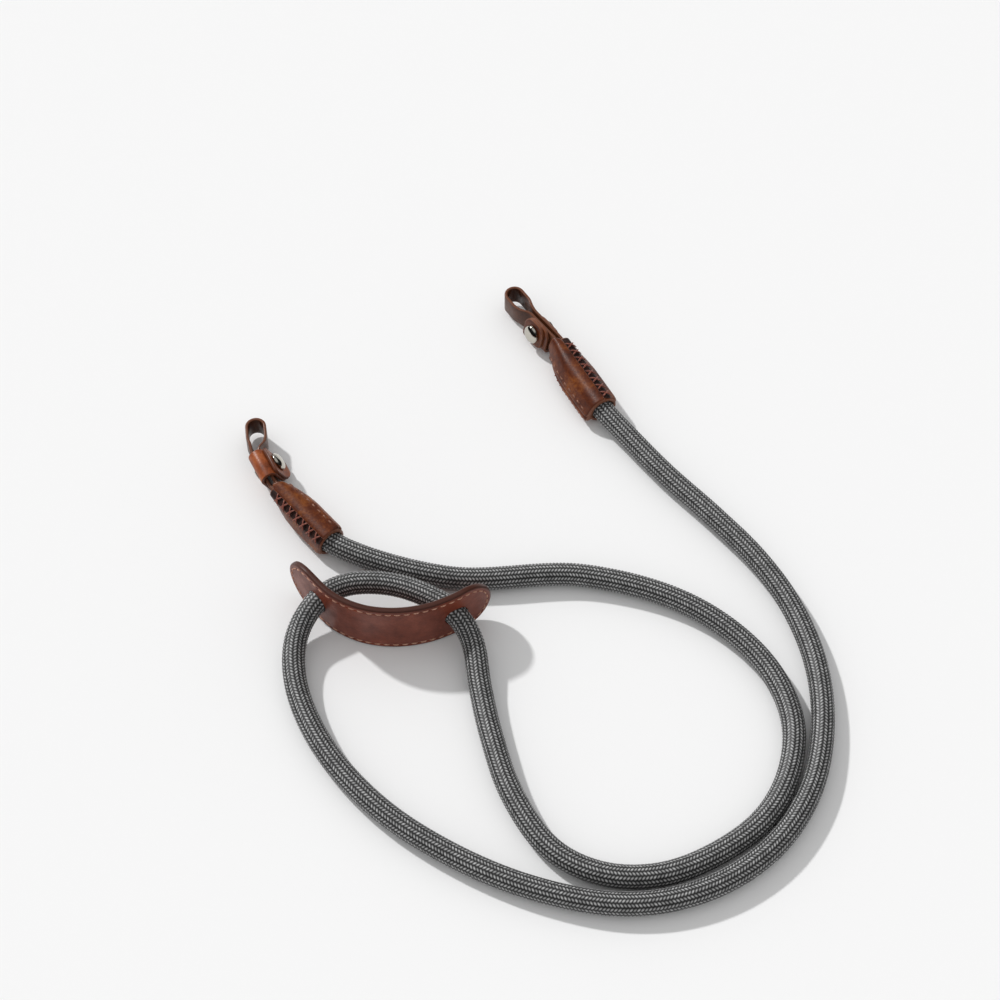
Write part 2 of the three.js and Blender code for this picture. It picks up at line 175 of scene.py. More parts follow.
def curve_through(points, count):
    """Centripetal Catmull-Rom through the points: on each stretch the two circles' pulls are blended in
    proportion to the square roots of the distances. Returns count points at even distances along it."""
    ends = [2 * points[:1] - points[1:2], 2 * points[-1:] - points[-2:-1]]
    p = np.concatenate([ends[0], points, ends[1]])
    step = np.linalg.norm(np.diff(p, axis=0), axis=1) ** 0.5
    share = np.linspace(0, 1, 60, endpoint=False)[None, :, None]
    p0, p1, p2, p3 = (p[i:len(p) - 3 + i, None, :] for i in range(4))
    d0, d1, d2 = (step[i:len(step) - 2 + i, None, None] for i in range(3))
    slope1 = ((p1 - p0) / d0 - (p2 - p0) / (d0 + d1) + (p2 - p1) / d1) * d1
    slope2 = ((p2 - p1) / d1 - (p3 - p1) / (d1 + d2) + (p3 - p2) / d2) * d1
    fine = (p1 + slope1 * share + (3 * (p2 - p1) - 2 * slope1 - slope2) * share ** 2
            + (2 * (p1 - p2) + slope1 + slope2) * share ** 3)
    fine = np.concatenate([fine.reshape(-1, 3), points[-1:]])
    along = np.concatenate([[0], np.cumsum(np.linalg.norm(np.diff(fine, axis=0), axis=1))])
    even = np.linspace(0, along[-1], count)
    return np.stack([np.interp(even, along, fine[:, i]) for i in range(3)], -1)


def eased(points, reach):
    """Each point replaced by the mean of its neighbours within reach, weighted by a cosine bell."""
    bell = 1 + np.cos(np.linspace(-np.pi, np.pi, 2 * reach + 3))[1:-1]
    bell /= bell.sum()
    before = points[0] + (points[0] - points[1]) * np.arange(reach, 0, -1)[:, None]
    after = points[-1] + (points[-1] - points[-2]) * np.arange(1, reach + 1)[:, None]
    padded = np.concatenate([before, points, after])
    return np.stack([np.convolve(padded[:, i], bell, "valid") for i in range(3)], -1)


def along_and_across(line):
    """A line's direction at each point, the level direction to its left, and the one square to both."""
    along = np.gradient(line, axis=0)
    along /= np.linalg.norm(along, axis=1)[:, None]
    left = np.cross([0.0, 0.0, 1.0], along)
    left /= np.linalg.norm(left, axis=1)[:, None]
    return along, left, np.cross(along, left)


def tube_faces(rings, sides, caps=True):
    """Four-sided faces between closed rings of points, with one face over each end ring."""
    ring, side = np.meshgrid(np.arange(rings - 1), np.arange(sides), indexing="ij")
    after = (side + 1) % sides
    faces = np.stack([ring * sides + side, ring * sides + after,
                      (ring + 1) * sides + after, (ring + 1) * sides + side], -1).reshape(-1, 4).tolist()
    if caps:
        faces.append(list(range(sides))[::-1])
        faces.append(list(range((rings - 1) * sides, rings * sides)))
    return faces


def mapped(piece, name, first, second, wraps=False):
    """Writes a UV map from two values at each point. Where the second is a share of the way around, the
    seam's far side gets 1 more, so that a pattern runs on across it."""
    mesh = piece.data
    corner = np.empty(len(mesh.loops), dtype=int)
    mesh.loops.foreach_get("vertex_index", corner)
    across = np.asarray(second, dtype=float).ravel()[corner]
    if wraps:
        start = np.empty(len(mesh.polygons), dtype=int)
        mesh.polygons.foreach_get("loop_start", start)
        quads = start[np.diff(np.append(start, len(corner))) == 4][:, None] + np.arange(4)
        seam = quads[(across[quads].max(1) - across[quads].min(1)) > 0.5]
        across[seam] = np.where(across[seam] < 0.5, across[seam] + 1, across[seam])
    uv = np.stack([np.asarray(first, dtype=float).ravel()[corner], across], -1)
    mesh.uv_layers.new(name=name).data.foreach_set("uv", uv.ravel())


def fitted(piece, material, stands_for=None):
    """Gives a piece its material and slot, lets it ride on the strap, and hides the solid from model.glb
    that it stands for.
    """
    piece.data.materials.append(material)
    if stands_for:
        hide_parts(stands_for)
    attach(piece, "root")


def braided_rope():
    """A tube whose rings lie half a stitch apart. Each ring zigzags along the rope, leaning on by one column
    and back by the next. Its radius falls between stitches, by turns in odd and even columns."""
    rough = curve_through(ROPE_ROUTE, 1200)
    length = np.linalg.norm(np.diff(rough, axis=0), axis=1).sum()
    rings = 2 * int(length / BRAID_PITCH)
    line = eased(curve_through(ROPE_ROUTE, rings), 8)
    along, left, up = along_and_across(line)
    sides = BRAID_SIDES * BRAID_COLUMNS
    side = np.arange(sides)
    share = (side + 0.5) / sides
    in_column = ((side + 0.5) / BRAID_SIDES) % 1
    odd = (side // BRAID_SIDES) % 2
    lean = (1 - 2 * odd) * (in_column - 0.5) * BRAID_SLANT * BRAID_PITCH
    crest = (np.arange(rings)[:, None] + odd[None]) % 2 == 0
    crown = np.where(side % BRAID_SIDES == BRAID_SIDES // 2, 1.0, 0.4)[None]
    radius = ROPE / 2 - BRAID_RELIEF * (1 - crest * crown)
    angle = 2 * np.pi * share
    outward = left[:, None] * np.sin(angle)[None, :, None] + up[:, None] * np.cos(angle)[None, :, None]
    points = line[:, None] + outward * radius[..., None] + along[:, None] * lean[None, :, None]
    points[..., 2] = np.maximum(points[..., 2], 0.0)
    piece = surface("braided_rope", points, tube_faces(rings, sides))
    distance = np.arange(rings)[:, None] * BRAID_PITCH / 2 + 0 * lean
    mapped(piece, "lay", distance, np.broadcast_to(share, distance.shape), wraps=True)
    return piece, line


# Polyester braid: grey, with a painted highlight on each stitch's crown where the lamp catches it, fading to
# painted shade in the gaps between stitches.
braid, tree, shader = coating("polyester braid", "#5c5c5d", 0.5, Specular_IOR_Level=0.4)
lay = node(tree, "ShaderNodeVectorMath",
           {0: node(tree, "ShaderNodeUVMap", uv_map="lay"), 1: (1 / BRAID_PITCH, BRAID_COLUMNS, 0)},
           operation="MULTIPLY")
whole = node(tree, "ShaderNodeVectorMath", {0: lay}, operation="FLOOR")
column = node(tree, "ShaderNodeSeparateXYZ", {0: whole})
odd = node(tree, "ShaderNodeMath", {0: column.outputs[1], 1: 2.0}, operation="MODULO")
half = node(tree, "ShaderNodeMath", {0: odd, 1: 0.5, 2: 0.5}, operation="MULTIPLY_ADD")
moved = node(tree, "ShaderNodeVectorMath", {0: lay, 1: node(tree, "ShaderNodeCombineXYZ", {0: half})},
             operation="ADD")
cell = node(tree, "ShaderNodeVectorMath", {0: moved}, operation="FLOOR")
from_corner = node(tree, "ShaderNodeVectorMath", {0: moved}, operation="FRACTION")
from_crown = node(tree, "ShaderNodeVectorMath", {0: from_corner, 1: (0.5, 0.5, 0)}, operation="SUBTRACT")
apart = node(tree, "ShaderNodeVectorMath", {0: from_crown}, operation="LENGTH")
# This ramp is painted light: a painted highlight at each stitch's crown and painted shade towards the gaps.
stitch_painted_light = node(tree, "ShaderNodeValToRGB", {0: apart.outputs["Value"]},
            [(0.0, "#c4c4c4"), (0.2, "#969696"), (0.4, "#434343"), (0.58, "#191919")])
fleck = node(tree, "ShaderNodeTexWhiteNoise", {0: cell}, noise_dimensions="3D")
tone = node(tree, "ShaderNodeMapRange", {0: fleck, 3: 0.72, 4: 1.25})
stitch_painted_light = node(tree, "ShaderNodeHueSaturation", {"Color": stitch_painted_light, "Value": tone})
tree.links.new(stitch_painted_light.outputs[0], shader.inputs["Base Color"])

rope, rope_line = braided_rope()
fitted(rope, braid, "rope")

# Neck pad. A strip of 2.6 mm bridle leather with round ends, sewn all round 2 mm in from its burnished
# edge. Two punched holes take the rope. It stands on its long edge, bent round the loop of rope.

PAD_CURVE = np.array([
    [-79.2, -40.2, 0], [-71.2, -50.2, 0], [-62.4, -59.3, 0], [-51.5, -64.8, 0], [-39.5, -66.4, 0],
    [-27.5, -64.6, 0], [-16.8, -60, 0], [-10, -55.4, 0], [-3.9, -51, 0],
]) * 0.001 + PLACE
PAD_WIDTH = 0.025
PAD_HALF = 0.0013  # half its thickness
PAD_ROUND = 0.0009  # radius of the burnished edge
SEWN_IN = 0.0020
FURROW = 0.0002  # how deep the thread lies
PAD_STITCH = 0.0034  # from hole to hole
PAD_STITCH_LENGTH = 0.0025
GAP = 0.0003  # between any two pieces


def strip_profile():
    """The pad's section from the middle of its back, round the edge, to the middle of its face, as pairs of
    inset and offset. The edge is a quarter circle at each side, the sewn line a bell-shaped furrow."""
    turn = np.linspace(-np.pi / 2, np.pi / 2, 12)
    edge = np.stack([PAD_ROUND * (1 - np.cos(turn)),
                     np.sin(turn) * PAD_ROUND + np.sign(turn) * (PAD_HALF - PAD_ROUND)], -1)
    near = SEWN_IN + np.linspace(-0.0008, 0.0008, 9)
    inset = np.concatenate([near, np.linspace(near[-1], PAD_WIDTH / 2, 7)[1:]])
    depth = FURROW * np.exp(-((inset - SEWN_IN) / 0.0003) ** 2)
    face = np.stack([inset, PAD_HALF - depth], -1)
    return np.concatenate([(face * [1, -1])[::-1], edge, face])


def stadium(share, length, radius):
    """A point of a strip's round-ended outline at a share of its way round, and the direction to its
    inside: two straight runs joined by two half circles."""
    run = length - 2 * radius
    way = (share % 1) * (2 * run + 2 * np.pi * radius)
    turn1 = np.clip((way - run) / radius, 0, np.pi)
    turn2 = np.clip((way - 2 * run - np.pi * radius) / radius, 0, np.pi)
    angle = -np.pi / 2 + turn1 + turn2
    x = np.clip(way, 0, run) - np.clip(way - run - np.pi * radius, 0, run)
    out = np.stack([np.cos(angle), np.sin(angle)], -1)
    return np.stack([radius + x, np.full_like(x, radius)], -1) + out * radius, -out


PAD_LINE = curve_through(PAD_CURVE, 400)
PAD_WAY = np.concatenate([[0], np.cumsum(np.linalg.norm(np.diff(PAD_LINE, axis=0), axis=1))])


def on_pad(place, height, offset):
    """The point of the bent pad at a place along its curve, a height and an offset square to the curve, and
    the direction of that offset."""
    along = np.gradient(PAD_LINE, axis=0)
    along /= np.linalg.norm(along, axis=1)[:, None]
    x, y, along_x, along_y = [np.interp(place, PAD_WAY, values)
                              for values in (*PAD_LINE.T[:2], *along.T[:2])]
    outward = np.stack([along_y, -along_x, 0 * x], -1)
    return np.stack([x, y, height + 0 * x], -1) + outward * np.asarray(offset)[..., None], outward


def closed(piece, merge=1e-6):
    """Merges points that coincide and turns every face outwards."""
    shell = bmesh.new()
    shell.from_mesh(piece.data)
    bmesh.ops.remove_doubles(shell, verts=shell.verts, dist=merge)
    bmesh.ops.dissolve_degenerate(shell, edges=shell.edges, dist=merge)
    bmesh.ops.recalc_face_normals(shell, faces=shell.faces)
    shell.to_mesh(piece.data)
    shell.free()
    return piece


def pierced(piece, cutter):
    """Cuts one solid out of another and keeps the result's edges sharp."""
    cut = piece.modifiers.new("cut", "BOOLEAN")
    cut.operation = "DIFFERENCE"
    cut.solver = "EXACT"
    cut.object = cutter
    whole = piece.evaluated_get(bpy.context.evaluated_depsgraph_get())
    mesh = bpy.data.meshes.new_from_object(whole)
    piece.modifiers.clear()
    piece.data = mesh
    bpy.data.objects.remove(cutter)
    mesh.set_sharp_from_angle(angle=math.radians(50))


def rope_space():
    """A round tube a little wider than the rope, along its climb through the pad: the stretch near the
    pad's middle that is raised off the paper, without the rope's end in the left sleeve."""
    middle = PAD_CURVE[4, :2] + [0, 0.004]
    near = np.linalg.norm(rope_line[:, :2] - middle, axis=1) < 0.055
    raised = rope_line[:, 2] > 0.0055
    in_front = rope_line[:, 1] < PAD_CURVE[3, 1] + 0.03
    line = rope_line[near & raised & in_front][::6]
    _, left, up = along_and_across(line)
    angle = np.linspace(0, 2 * np.pi, 40, endpoint=False)[None, :, None]
    outward = left[:, None] * np.sin(angle) + up[:, None] * np.cos(angle)
    points = line[:, None] + (ROPE / 2 + GAP) * outward
    return closed(surface("rope_space", points, tube_faces(len(line), 40)))


def leather_pad():
    """Rows ever further in from the round-ended outline make both faces, down to the middle line."""
    section = strip_profile()
    outline, inward = stadium(np.linspace(0, 1, 200, endpoint=False), PAD_WAY[-1], PAD_WIDTH / 2)
    flat = outline[None] + inward[None] * section[:, 0][:, None, None]
    offset = np.broadcast_to(section[:, 1][:, None], flat.shape[:2])
    points, _ = on_pad(flat[..., 0], flat[..., 1], offset)
    piece = surface("neck_pad_leather", points, tube_faces(len(section), 200, caps=False))
    mapped(piece, "edge", np.broadcast_to(section[:, 0][:, None], flat.shape[:2]), offset)
    return closed(piece)


def leather(name, dark, middle, light, edge, roughness, seed, edge_reach):
    """Dyed leather, clouded by the wax that moves in it, with a rubbed cut edge of its own colour. The grain
    is about 0.5 mm wide and drawn coarser than real, so that it shows."""
    material, tree, shader = coating(name, middle, roughness, Specular_IOR_Level=0.3)
    where = node(tree, "ShaderNodeTexCoord")
    spot = node(tree, "ShaderNodeMapping", {0: where.outputs["Object"], 1: (seed, seed, seed)})
    cloud = node(tree, "ShaderNodeTexNoise",
                 {"Vector": spot, "Scale": 140.0, "Detail": 4.0, "Roughness": 0.6})
    speck = node(tree, "ShaderNodeTexNoise",
                 {"Vector": spot, "Scale": 900.0, "Detail": 3.0, "Roughness": 0.7})
    mixed = node(tree, "ShaderNodeMix", {0: 0.35, 2: cloud, 3: speck})
    dyed = node(tree, "ShaderNodeValToRGB", {0: mixed}, [(0.36, dark), (0.5, middle), (0.66, light)])
    inset = node(tree, "ShaderNodeSeparateXYZ", {0: node(tree, "ShaderNodeUVMap", uv_map="edge")})
    at_edge = node(tree, "ShaderNodeMapRange",
                   {0: inset, 1: edge_reach * 0.4, 2: edge_reach, 3: 1.0, 4: 0.0},
                   interpolation_type="SMOOTHSTEP")
    skin = node(tree, "ShaderNodeMix", {0: at_edge, 6: dyed, 7: linear(edge)}, data_type="RGBA")
    tree.links.new(skin.outputs[2], shader.inputs["Base Color"])
    pebble = node(tree, "ShaderNodeTexVoronoi", {"Vector": spot, "Scale": 1900.0})
    crease = node(tree, "ShaderNodeTexNoise",
                  {"Vector": spot, "Scale": 420.0, "Detail": 5.0, "Roughness": 0.65})
    height = node(tree, "ShaderNodeMix", {0: 0.5, 2: pebble, 3: crease})
    bump = node(tree, "ShaderNodeBump", {"Height": height, "Distance": 0.00012, "Strength": 0.5})
    tree.links.new(bump.outputs[0], shader.inputs["Normal"])
    shine = node(tree, "ShaderNodeMapRange",
                 {0: cloud, 1: 0.3, 2: 0.7, 3: roughness + 0.07, 4: roughness - 0.07})
    tree.links.new(shine.outputs[0], shader.inputs["Roughness"])
    return material


# Waxed bridle leather: an even red-brown with a soft shine and a darker burnished edge.
bridle = leather("waxed bridle leather", "#5e2716", "#6f321f", "#7f3e29", "#46241a", 0.4, 3.0, 0.0009)

neck_pad = leather_pad()
pierced(neck_pad, rope_space())
fitted(neck_pad, bridle, "neck_pad")


def threads(name, starts, stops, lift, thick, rise):
    """One mesh of short threads. Each runs from its start to its stop in an arch of a half sine along lift,
    sunk by 0.3 of its thickness. Its radius narrows towards both ends as the square root of one minus the
    fourth power."""
    rings, sides = 7, 6
    share = np.linspace(0, 1, rings)
    run = stops - starts
    arch = (rise * np.sin(np.pi * share) - 0.3 * thick)[None, :, None]
    line = starts[:, None] + run[:, None] * share[None, :, None] + lift[:, None] * arch
    along = run / np.linalg.norm(run, axis=1)[:, None]
    side = np.cross(along, lift)
    side /= np.linalg.norm(side, axis=1)[:, None]
    up = np.cross(side, along)
    radius = (thick / 2 * np.sqrt(np.maximum(1 - (2 * share - 1) ** 4, 0.02)))[None, :, None, None]
    angle = np.linspace(0, 2 * np.pi, sides, endpoint=False)[None, None, :, None]
    ring = (side[:, None, None] * np.cos(angle) + up[:, None, None] * np.sin(angle)) * radius
    one = tube_faces(rings, sides)
    faces = [[k * rings * sides + i for i in face] for k in range(len(starts)) for face in one]
    return closed(surface(name, line[:, :, None] + ring, faces), merge=1e-8)


def thread_coating(name, dark, middle, light):
    """Twisted thread: the twist is too fine to draw, so a grain stands in for it."""
    material, tree, shader = coating(name, middle, 0.5, Specular_IOR_Level=0.4)
    where = node(tree, "ShaderNodeTexCoord")
    twist = node(tree, "ShaderNodeTexNoise",
                 {"Vector": where.outputs["Object"], "Scale": 2600.0, "Detail": 2.0})
    dyed = node(tree, "ShaderNodeValToRGB", {0: twist}, [(0.3, dark), (0.55, middle), (0.8, light)])
    tree.links.new(dyed.outputs[0], shader.inputs["Base Color"])
    return material


# Waxed linen thread: a tan paler than the leather, so that each stitch shows as a light dash.
linen = thread_coating("waxed linen thread", "#9a6650", "#c08f78", "#dcb8a2")


def pad_stitches():
    """Stitches at even distances along the sewn line, the same on both faces."""
    radius = PAD_WIDTH / 2
    whole = 2 * (PAD_WAY[-1] - 2 * radius) + 2 * np.pi * (radius - SEWN_IN)
    count = int(whole / PAD_STITCH)
    half = PAD_STITCH_LENGTH / whole / 2
    shares = [np.arange(count) / count + side * half for side in (-1, 1)]
    spots = [stadium(share, PAD_WAY[-1] - 2 * SEWN_IN, radius - SEWN_IN)[0] + SEWN_IN for share in shares]
    starts, stops, lifts = [], [], []
    for face in (1, -1):
        for spot, found in zip(spots, (starts, stops)):
            offset = face * (PAD_HALF - FURROW * 0.4) + 0 * spot[:, 0]
            point, outward = on_pad(spot[:, 0], spot[:, 1], offset)
            found.append(point)
        lifts.append(outward * face)
    return threads("neck_pad_stitches", np.concatenate(starts), np.concatenate(stops),
                   np.concatenate(lifts), 0.0006, 0.00025)


fitted(pad_stitches(), linen)

# Sleeves. Each rope end is glued into a leather sleeve, moulded round the rope and flat towards the loop.
# A back piece and a front panel are saddle sewn along one edge and laced together with crossed thread along
# the other. The whole end lies a little rolled over.

# Each end's own sizes in metres, with its mouth's place in millimetres and its angles in degrees. Angles
# round the axis are measured up from the end's left, turns to the left, and roll to the right. laced, sewn
# and panel say where the lacing, the row of stitches and the front panel's two edges lie.
ENDS = {
    "left": {"mouth": (-65.1, -24.2), "heading": 131, "roll": -25, "keeper_turn": -14, "eye_turn": -20,
             "turned_over": True, "length": 0.032, "seam_at": 165, "seam": 0.0010, "lace_at": 5, "laced": 66,
             "sewn": 141, "panel": (80, 158), "seam_round": 0.0105, "lace_round": 0.0030, "whipped": False,
             "reach": 0.0075, "bend": 0.0028, "back_flap": 0.0045, "front_from": 0.0, "flare": 0.0016},
    "right": {"mouth": (41.5, 39.6), "heading": 119, "roll": 13, "keeper_turn": 8, "eye_turn": -3,
              "turned_over": False, "length": 0.036, "seam_at": -28, "seam": 0.0026, "lace_at": 142,
              "laced": 102, "sewn": -2, "panel": (-17, 86), "seam_round": 0.0060, "lace_round": 0.0040,
              "whipped": True, "reach": 0.0061, "bend": 0.0023, "back_flap": 0.0029, "front_from": 0.0017,
              "flare": 0.0},
}
AXIS = 0.00635  # height of both ends' axis
LOOP_NECK = 0.0045  # of the folded strip, between sleeve and keeper
KEEPER_LENGTH = 0.0134
EYE_LENGTH = 0.0173
BORE = 0.0048  # radius
SLEEVE_RADIUS = 0.0061
ROPE_DEPTH = 0.018  # of the rope in its sleeve
SLOT = (0.0022, 0.0048)  # half sizes of the hole that takes the folded strip
SEAM_HALF = 0.0011  # half the sewn edge's thickness
LACE, LACE_HALF = 0.0009, 0.0008  # how far the laced edge stands out, and half its thickness
PANEL_LIFT = 0.0008
PANEL_CORNER = 0.0012  # at the mouth
TONGUE = 0.0016  # of the panel, past the sleeve's end
LACE_PITCH = 0.0040
LACE_CROSS = 0.66  # length of a cross, in pitches
LACE_FROM = 0.0018
LACE_WIDE = 0.0032  # the gap that the lacing draws together
LACE_HOLD = 0.06  # how far past the gap a thread starts, in radians
LACE_THREAD = 0.0007
SEWN_PITCH, SEWN_LENGTH, SEWN_THREAD = 0.0034, 0.0024, 0.0007
WHIP_PITCH, WHIP_LEAN, WHIP_THREAD = 0.0026, 0.0008, 0.0008
WHIP_IN = 0.0014  # from the edge to the holes
# Share of the length, half width as a share of the radius, and how square the section is.
SLEEVE_FORM = np.array([[0, 1, 2], [0.3, 1, 2], [0.55, 1, 2.1], [0.68, 0.94, 2.4], [0.82, 0.82, 2.8],
                        [0.93, 0.71, 3.4], [1, 0.65, 4]])
# Share of the length, and the two standing edges' reach as a share of their widest.
EDGE_FORM = np.array([[0, 0.93], [0.03, 0.98], [0.06, 1], [0.5, 1], [0.66, 0.93], [0.8, 0.8], [0.92, 0.62],
                      [1, 0.5]])


def smoothstep(value, low, high):
    share = np.clip((value - low) / (high - low), 0, 1)
    return share * share * (3 - 2 * share)


def laid(points, end):
    """Points modelled on a straight end, in the strap's frame: x runs forward from the rope's mouth, y to
    the left and z up from the axis. The path turns before and after the keeper. The end is rolled about it
    as far as the keeper, and its eye stands upright."""
    form = ENDS[end]
    near = form["length"] + LOOP_NECK
    far = near + KEEPER_LENGTH
    fine = np.linspace(-0.01, 0.09, 2001)
    turn = np.radians(form["heading"]
                      + form["keeper_turn"] * smoothstep(fine, form["length"] + GAP, near - GAP)
                      + form["eye_turn"] * smoothstep(fine, far + GAP, far + EYE_LENGTH / 3))
    step = fine[1] - fine[0]
    path = [np.concatenate([[0], np.cumsum(run((turn[1:] + turn[:-1]) / 2) * step)])
            for run in (np.cos, np.sin)]
    points = np.asarray(points, dtype=float)
    x, y, heading = [np.interp(points[..., 0], fine, values) for values in (*path, turn)]
    start = [np.interp(0, fine, values) for values in path]
    roll = np.radians(form["roll"]) * (1 - smoothstep(points[..., 0], far + GAP, far + EYE_LENGTH / 3))
    side = points[..., 1] * np.cos(roll) - points[..., 2] * np.sin(roll)
    up = points[..., 1] * np.sin(roll) + points[..., 2] * np.cos(roll)
    mouth = np.array(form["mouth"]) * 0.001 + PLACE[:2]
    return np.stack([x - start[0] - side * np.sin(heading) + mouth[0],
                     y - start[1] + side * np.cos(heading) + mouth[1], AXIS + up], -1)


def laid_threads(name, starts, stops, lift, end, thick, rise):
    """Threads modelled on a straight end, in the strap's frame."""
    middle = (starts + stops) / 2
    lifted = laid(middle + lift * 0.0005, end) - laid(middle, end)
    lifted /= np.linalg.norm(lifted, axis=1)[:, None]
    return threads(name, laid(starts, end), laid(stops, end), lifted, thick, rise)


def rounded_box(angle, half_width, half_height, square):
    """Distance from the middle to a superellipse: the sum of both shares to the power square is 1."""
    shares = np.abs(np.cos(angle) / half_width) ** square + np.abs(np.sin(angle) / half_height) ** square
    return shares ** (-1 / square)


def sleeve_reach(share, angle, end):
    """Distance from the axis to the skin. In front the sheet is drawn tight round the body and both edges:
    in each direction, the least reach that their furthest points allow. Behind, a high power mean joins
    them, which leaves a small fillet."""
    form = ENDS[end]
    share, angle = np.broadcast_arrays(share, angle)
    side = np.interp(share, SLEEVE_FORM[:, 0], SLEEVE_FORM[:, 1])
    square = np.interp(share, SLEEVE_FORM[:, 0], SLEEVE_FORM[:, 2])
    normal = np.linspace(0, 2 * np.pi, 240, endpoint=False)
    dual = (square / (square - 1))[..., None]
    support = (np.abs(SLEEVE_RADIUS * side[..., None] * np.cos(normal)) ** dual
               + np.abs(SLEEVE_RADIUS * np.sin(normal)) ** dual) ** (1 / dual)
    behind = rounded_box(angle, SLEEVE_RADIUS * side, SLEEVE_RADIUS, square) ** 22
    for at, width, half in ((form["seam_at"], form["seam"], SEAM_HALF), (form["lace_at"], LACE, LACE_HALF)):
        toward = math.radians(at)
        reach = (SLEEVE_RADIUS + width) * np.interp(share, EDGE_FORM[:, 0], EDGE_FORM[:, 1])
        support = np.maximum(support, (reach - half)[..., None] * np.cos(normal - toward) + half)
        box = rounded_box(angle - toward, reach, half, 5)
        behind = behind + np.where(np.cos(angle - toward) > 0, box, 0) ** 22
    aim = np.cos(angle[..., None] - normal)
    tight = np.min(np.where(aim > 0.05, support / np.maximum(aim, 0.05), 1.0), -1)
    low, high = sorted([math.radians(form["seam_at"]), math.radians(form["lace_at"])])
    in_front = (angle - low) % (2 * np.pi) <= high - low
    return np.where(in_front, tight, behind ** (1 / 22))


def sleeve_point(distance, angle, end, lift=0.0):
    share = np.clip(distance / ENDS[end]["length"], 0, 1)
    reach = sleeve_reach(share, angle, end) + lift
    return np.stack([distance + 0 * reach, reach * np.cos(angle), reach * np.sin(angle)], -1)


def leather_sleeve(end):
    """Rings round the rope's axis: out of the bore, round the mouth's lip, along the skin, round the end
    and into the slot of the folded strip. The rings' points are closer together where the edges stand."""
    form = ENDS[end]
    edges = [math.radians(form[key]) for key in ("seam_at", "lace_at")]
    angle = np.sort(np.concatenate([np.linspace(0, 2 * np.pi, 72, endpoint=False)]
                                   + [(at + np.radians(np.linspace(-13, 13, 26))) % (2 * np.pi)
                                      for at in edges]))
    share = np.concatenate([[0.012], np.linspace(0.03, 0.97, 44), [0.99]])
    skin = sleeve_point(share[:, None] * form["length"], angle[None], end)
    round_bore = np.stack([0 * angle, BORE * np.cos(angle), BORE * np.sin(angle)], -1)
    slot_reach = rounded_box(angle, *SLOT, 9)
    slot = np.stack([0 * angle, slot_reach * np.cos(angle), slot_reach * np.sin(angle)], -1)
    lip, tail = skin[0] * [0, 1, 1], skin[-1] * [0, 1, 1]
    far = [form["length"], 0, 0]
    rings = [round_bore + [ROPE_DEPTH + GAP, 0, 0], round_bore + [0.0006, 0, 0], round_bore + [0.0001, 0, 0],
             round_bore * 0.6 + lip * 0.4, round_bore * 0.2 + lip * 0.8, *skin,
             slot * 0.2 + tail * 0.8 + far, slot * 0.6 + tail * 0.4 + far, slot + far - [GAP, 0, 0],
             slot + [ROPE_DEPTH + 3 * GAP, 0, 0]]
    points = np.stack(rings)
    piece = surface(f"sleeve_{end}_leather", laid(points, end), tube_faces(len(rings), len(angle)))
    from_axis = np.hypot(points[..., 1], points[..., 2])
    mouth = np.minimum(np.abs(points[..., 0]), np.abs(form["length"] - points[..., 0]))
    rim = np.minimum(np.maximum(SLEEVE_RADIUS + form["seam"] - from_axis, 0), mouth)
    mapped(piece, "edge", rim, points[..., 0])
    return closed(piece)


def shell(name, end, start, stop, low, high, lift, corners):
    """A thin sheet on the skin between two angles, with round edges and its four corners cut by quarter
    circles: two radii at the low angle and two at the high one, each the mouth's first."""
    distance = start + (stop - start) * (1 - np.cos(np.linspace(0, np.pi, 60))) / 2
    across = np.linspace(0, 1, 34)
    limits = []
    for radii in corners:
        cut = 0 * distance
        for radius, away in zip(radii, (distance - start, stop - distance)):
            left = np.maximum(radius - away, 0)
            cut = cut + radius - np.sqrt(np.maximum(radius ** 2 - left ** 2, 0))
        limits.append(cut / SLEEVE_RADIUS)
    from_angle = math.radians(low) + limits[0]
    to_angle = np.maximum(math.radians(high) - limits[1], from_angle + 0.02)
    angle = from_angle[:, None] + (to_angle - from_angle)[:, None] * across
    inset = np.minimum(angle - from_angle[:, None], to_angle[:, None] - angle) * SLEEVE_RADIUS
    inset = np.minimum(inset, np.minimum(distance - start, stop - distance)[:, None])
    rounding = 1 - np.clip(inset / max(lift, 0.0002), 0, 1)
    outer = sleeve_point(distance[:, None], angle, end, lift * np.sqrt(np.maximum(1 - rounding ** 2, 0)))
    inner = sleeve_point(distance[:, None], angle, end, -0.0003)
    points = np.concatenate([outer, inner[:, ::-1]], 1)
    piece = surface(name, laid(points, end), tube_faces(60, 68))
    mapped(piece, "edge", np.concatenate([inset, 0 * inset], 1), points[..., 0])
    return closed(piece)


# Pull-up leather: brown clouded lighter and darker, with a rubbed pale edge.
pull_up = leather("pull-up leather", "#3f190b", "#5a2912", "#814922", "#7a4c37", 0.33, 11.0, 0.0004)
# The same leather's inside, seen in the gap that the lacing draws together, coloured near black as painted
# shade in that recess.
inside_painted_shade = leather("leather inside with painted shade", "#1f0c08", "#2e130c", "#3d1c12", "#2a1009", 0.6, 7.0, 0.0002)
# Waxed lacing thread: dull red with light crowns.
lacing = thread_coating("waxed lacing thread", "#5e281e", "#87493a", "#bd8474")
# Sewing thread half sunk in the leather: tan where the light catches it.
sunk = thread_coating("sunk sewing thread", "#4a2416", "#84543e", "#c79a80")


def front_panel(end):
    """Its tongue reaches a little past the sleeve, over the folded strip."""
    form = ENDS[end]
    low, high = form["panel"]
    corners = [(PANEL_CORNER, form["seam_round"]), (PANEL_CORNER, form["lace_round"])]
    if form["seam_at"] > form["lace_at"]:
        corners.reverse()
    return shell(f"sleeve_{end}_panel", end, 0.0, form["length"] + TONGUE, low, high, PANEL_LIFT, corners)


